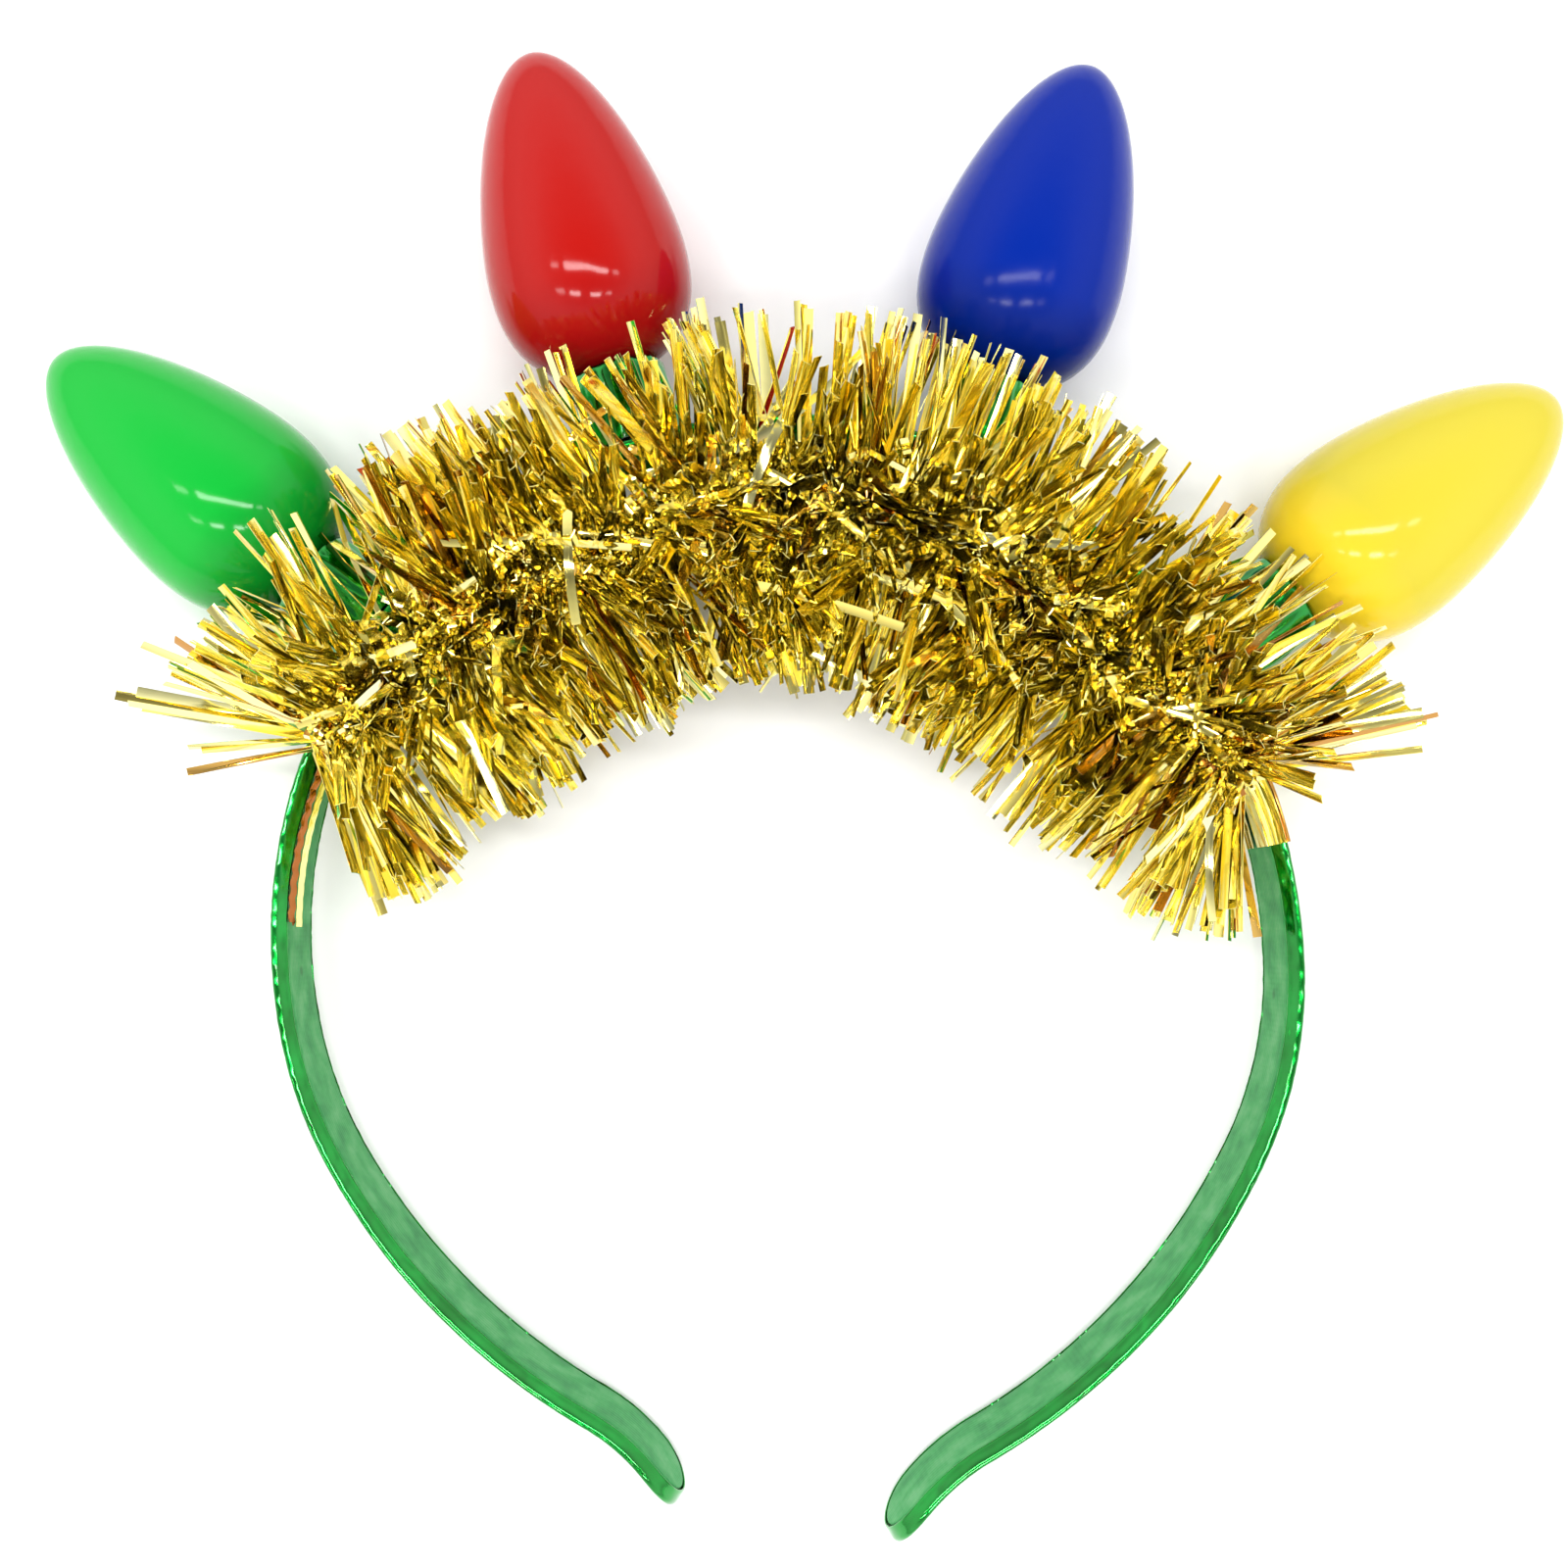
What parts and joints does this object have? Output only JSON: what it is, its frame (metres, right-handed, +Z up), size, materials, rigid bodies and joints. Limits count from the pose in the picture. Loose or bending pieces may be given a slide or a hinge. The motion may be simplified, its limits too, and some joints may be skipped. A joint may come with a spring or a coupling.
{
  "type": "light bulb headband",
  "caption": "Springy foil covered hoop headband with a cloth lining, plastic toy light bulbs standing in foil covered cups along the crown, and a gold tinsel garland.",
  "frame": {"origin": "centre of the bottom of the bounding box, on the surface that the headband lies on", "axes": "+Z up, across the band; +Y from the leg tips towards the crown and the bulbs; +X towards the yellow bulb"},
  "size_m": [0.1974, 0.1908, 0.0473],
  "materials": {
    "green_foil": "metallised film, crinkled and shiny",
    "lining_cloth": "matt woven tape",
    "green_plastic": "glossy blow moulded",
    "red_plastic": "glossy blow moulded",
    "blue_plastic": "glossy blow moulded",
    "yellow_plastic": "glossy blow moulded",
    "gold_foil": "metallised film, mirror like"
  },
  "bodies": {
    "root": {"headband": "green_foil", "lining": "lining_cloth", "socket_green": "green_foil", "socket_red": "green_foil", "socket_blue": "green_foil", "socket_yellow": "green_foil", "bulb_green": "green_plastic", "bulb_red": "red_plastic", "bulb_blue": "blue_plastic", "bulb_yellow": "yellow_plastic", "tinsel_garland": "gold_foil", "tinsel_wrap": "gold_foil", "tinsel_tail": "gold_foil"}
  },
  "joints": []
}
